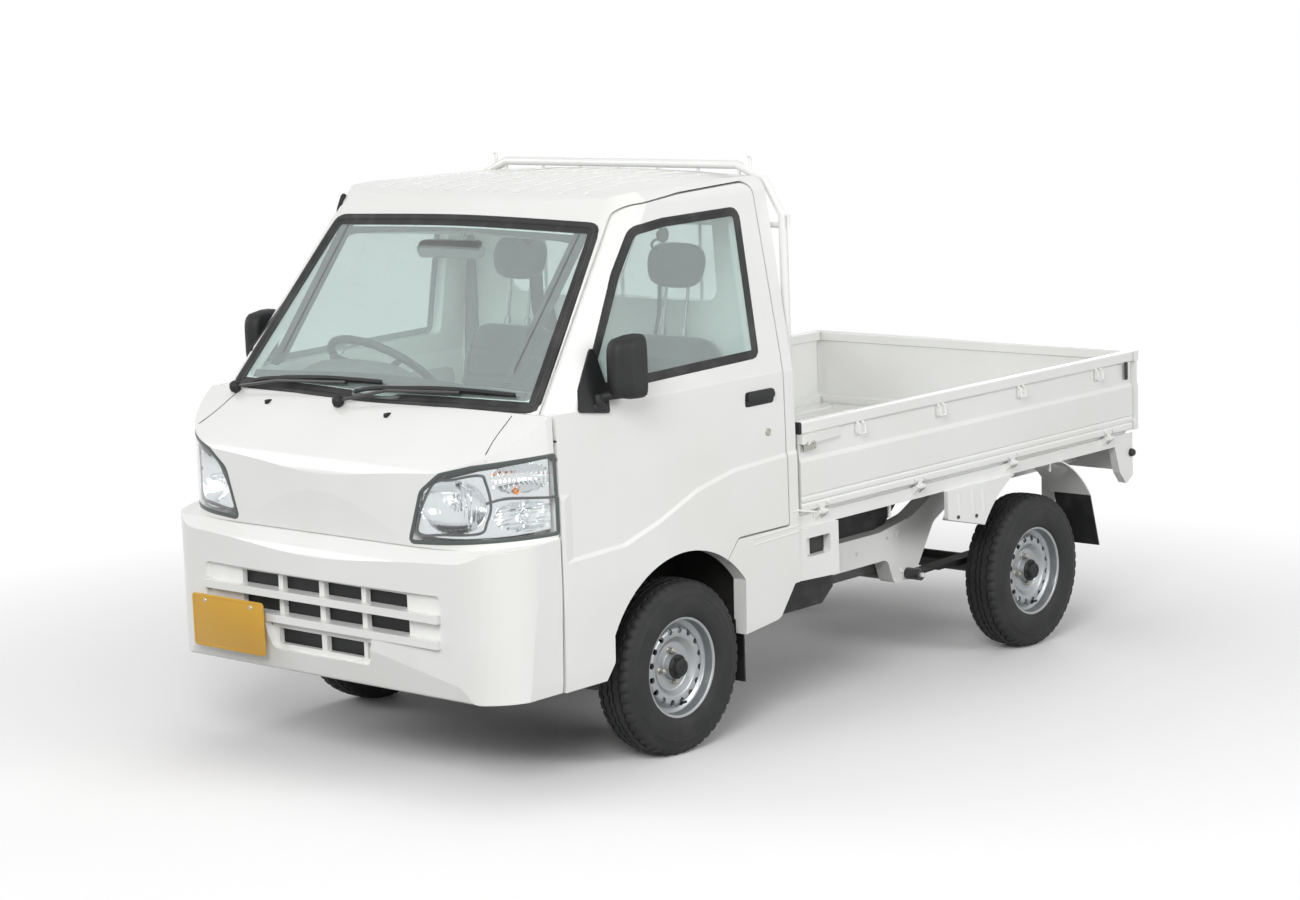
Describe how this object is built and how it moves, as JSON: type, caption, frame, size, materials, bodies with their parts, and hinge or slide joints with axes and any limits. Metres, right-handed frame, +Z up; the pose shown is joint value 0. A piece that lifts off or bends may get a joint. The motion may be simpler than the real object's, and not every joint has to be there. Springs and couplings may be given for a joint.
{
  "type": "kei truck",
  "caption": "Small cab-over pickup truck with two doors, drop-side load bed, tailgate, guard frame behind the cab and steel wheels.",
  "frame": {"origin": "on the ground under the middle of the truck's overall box", "axes": "+Z up, +Y towards the tailgate, +X towards the vehicle's left"},
  "size_m": [1.675, 3.3889, 1.7943],
  "materials": {
    "white_paint": "gloss white enamel",
    "white_plastic": "gloss white moulded bumper",
    "green_glass": "tinted safety glass",
    "clear_glass": "clear lens",
    "lamp_chrome": "bright reflector",
    "black_paint": "satin black chassis paint",
    "engine_iron": "cast",
    "black_iron": "black cast and forged steel",
    "bare_steel": "dull steel",
    "black_rubber": "matt rubber sheet",
    "red_plastic": "red lamp lens",
    "black_plastic": "grained black",
    "grey_plastic": "grained grey",
    "dark_plastic": "dark grey foam rim",
    "radiator_alloy": "finned core",
    "seat_fabric": "woven cloth",
    "wheel_paint": "silver painted steel",
    "tyre_rubber": "road tread rubber"
  },
  "bodies": {
    "root": {"cab_front": "white_paint", "cab_roof": "white_paint", "cab_back": "white_paint", "cab_side_left": "white_paint", "cab_side_right": "white_paint", "cab_glass": "green_glass", "headlamp_lenses": "clear_glass", "headlamp_bowls": "lamp_chrome", "cab_floor": "black_paint", "front_bumper": "white_plastic", "deck": "white_paint", "headboard": "white_paint", "guard_frame": "white_paint", "chassis": "white_paint", "engine_block": "engine_iron", "front_suspension": "black_paint", "rear_axle": "black_iron", "bed_skirts": "white_paint", "splash_guards": "black_rubber", "tail_lamps": "red_plastic", "fuel_tank": "black_paint", "exhaust": "bare_steel", "radiator": "radiator_alloy", "dashboard": "grey_plastic", "seats": "seat_fabric", "wipers": "black_paint"},
    "door_left": {"door_left": "white_paint", "door_glass_left": "green_glass", "mirror_left": "black_plastic"},
    "door_right": {"door_right": "white_paint", "door_glass_right": "green_glass", "mirror_right": "black_plastic"},
    "gate_left": {"gate_left": "white_paint"},
    "gate_right": {"gate_right": "white_paint"},
    "tailgate": {"tailgate": "white_paint"},
    "knuckle_left": {"knuckle_left": "black_iron"},
    "knuckle_right": {"knuckle_right": "black_iron"},
    "steering_wheel": {"steering_wheel": "dark_plastic"},
    "wheel_front_left": {"rim_front_left": "wheel_paint", "tyre_front_left": "tyre_rubber"},
    "wheel_front_right": {"rim_front_right": "wheel_paint", "tyre_front_right": "tyre_rubber"},
    "wheel_rear_left": {"rim_rear_left": "wheel_paint", "tyre_rear_left": "tyre_rubber"},
    "wheel_rear_right": {"rim_rear_right": "wheel_paint", "tyre_rear_right": "tyre_rubber"}
  },
  "joints": [
    {"name": "door_left_hinge", "type": "hinge", "parent": "root", "child": "door_left", "pos_m": [0.716, -1.38664, 0.84976], "axis": [0, 0.0175, -0.9998], "range_deg": [0, 65]},
    {"name": "door_right_hinge", "type": "hinge", "parent": "root", "child": "door_right", "pos_m": [-0.716, -1.38664, 0.84976], "axis": [0, -0.0175, 0.9998], "range_deg": [0, 65]},
    {"name": "gate_left_hinge", "type": "hinge", "parent": "root", "child": "gate_left", "pos_m": [0.735, 0.68076, 0.67281], "axis": [0, 0.9998, 0.0175], "range_deg": [0, 165]},
    {"name": "gate_right_hinge", "type": "hinge", "parent": "root", "child": "gate_right", "pos_m": [-0.735, 0.68076, 0.67281], "axis": [0, -0.9998, -0.0175], "range_deg": [0, 165]},
    {"name": "tailgate_hinge", "type": "hinge", "parent": "root", "child": "tailgate", "pos_m": [0, 1.68561, 0.69035], "axis": [-1, 0, 0], "range_deg": [0, 165]},
    {"name": "steer_left", "type": "hinge", "parent": "root", "child": "knuckle_left", "pos_m": [0.6, -0.85062, 0.19401], "axis": [-0.2775, -0.0168, 0.9606], "range_deg": [-35, 35]},
    {"name": "steer_right", "type": "hinge", "parent": "root", "child": "knuckle_right", "pos_m": [-0.6, -0.85062, 0.19401], "axis": [0.2775, -0.0168, 0.9606], "range_deg": [-35, 35]},
    {"name": "steering_wheel_turn", "type": "hinge", "parent": "root", "child": "steering_wheel", "pos_m": [-0.34, -1.05362, 1.13761], "axis": [0, 0.6059, 0.7956], "range_deg": [-560, 560]},
    {"name": "spin_front_left", "type": "hinge", "parent": "knuckle_left", "child": "wheel_front_left", "pos_m": [0.6525, -0.85194, 0.27], "axis": [1, 0, 0], "continuous": true},
    {"name": "spin_front_right", "type": "hinge", "parent": "knuckle_right", "child": "wheel_front_right", "pos_m": [-0.6525, -0.85194, 0.27], "axis": [1, 0, 0], "continuous": true},
    {"name": "spin_rear_left", "type": "hinge", "parent": "root", "child": "wheel_rear_left", "pos_m": [0.6525, 1.04834, 0.27], "axis": [1, 0, 0], "continuous": true},
    {"name": "spin_rear_right", "type": "hinge", "parent": "root", "child": "wheel_rear_right", "pos_m": [-0.6525, 1.04834, 0.27], "axis": [1, 0, 0], "continuous": true}
  ],
  "couplings": [
    {"joint": "steer_right", "follows": "steer_left", "ratio": 1},
    {"joint": "steering_wheel_turn", "follows": "steer_left", "ratio": 15.5}
  ]
}
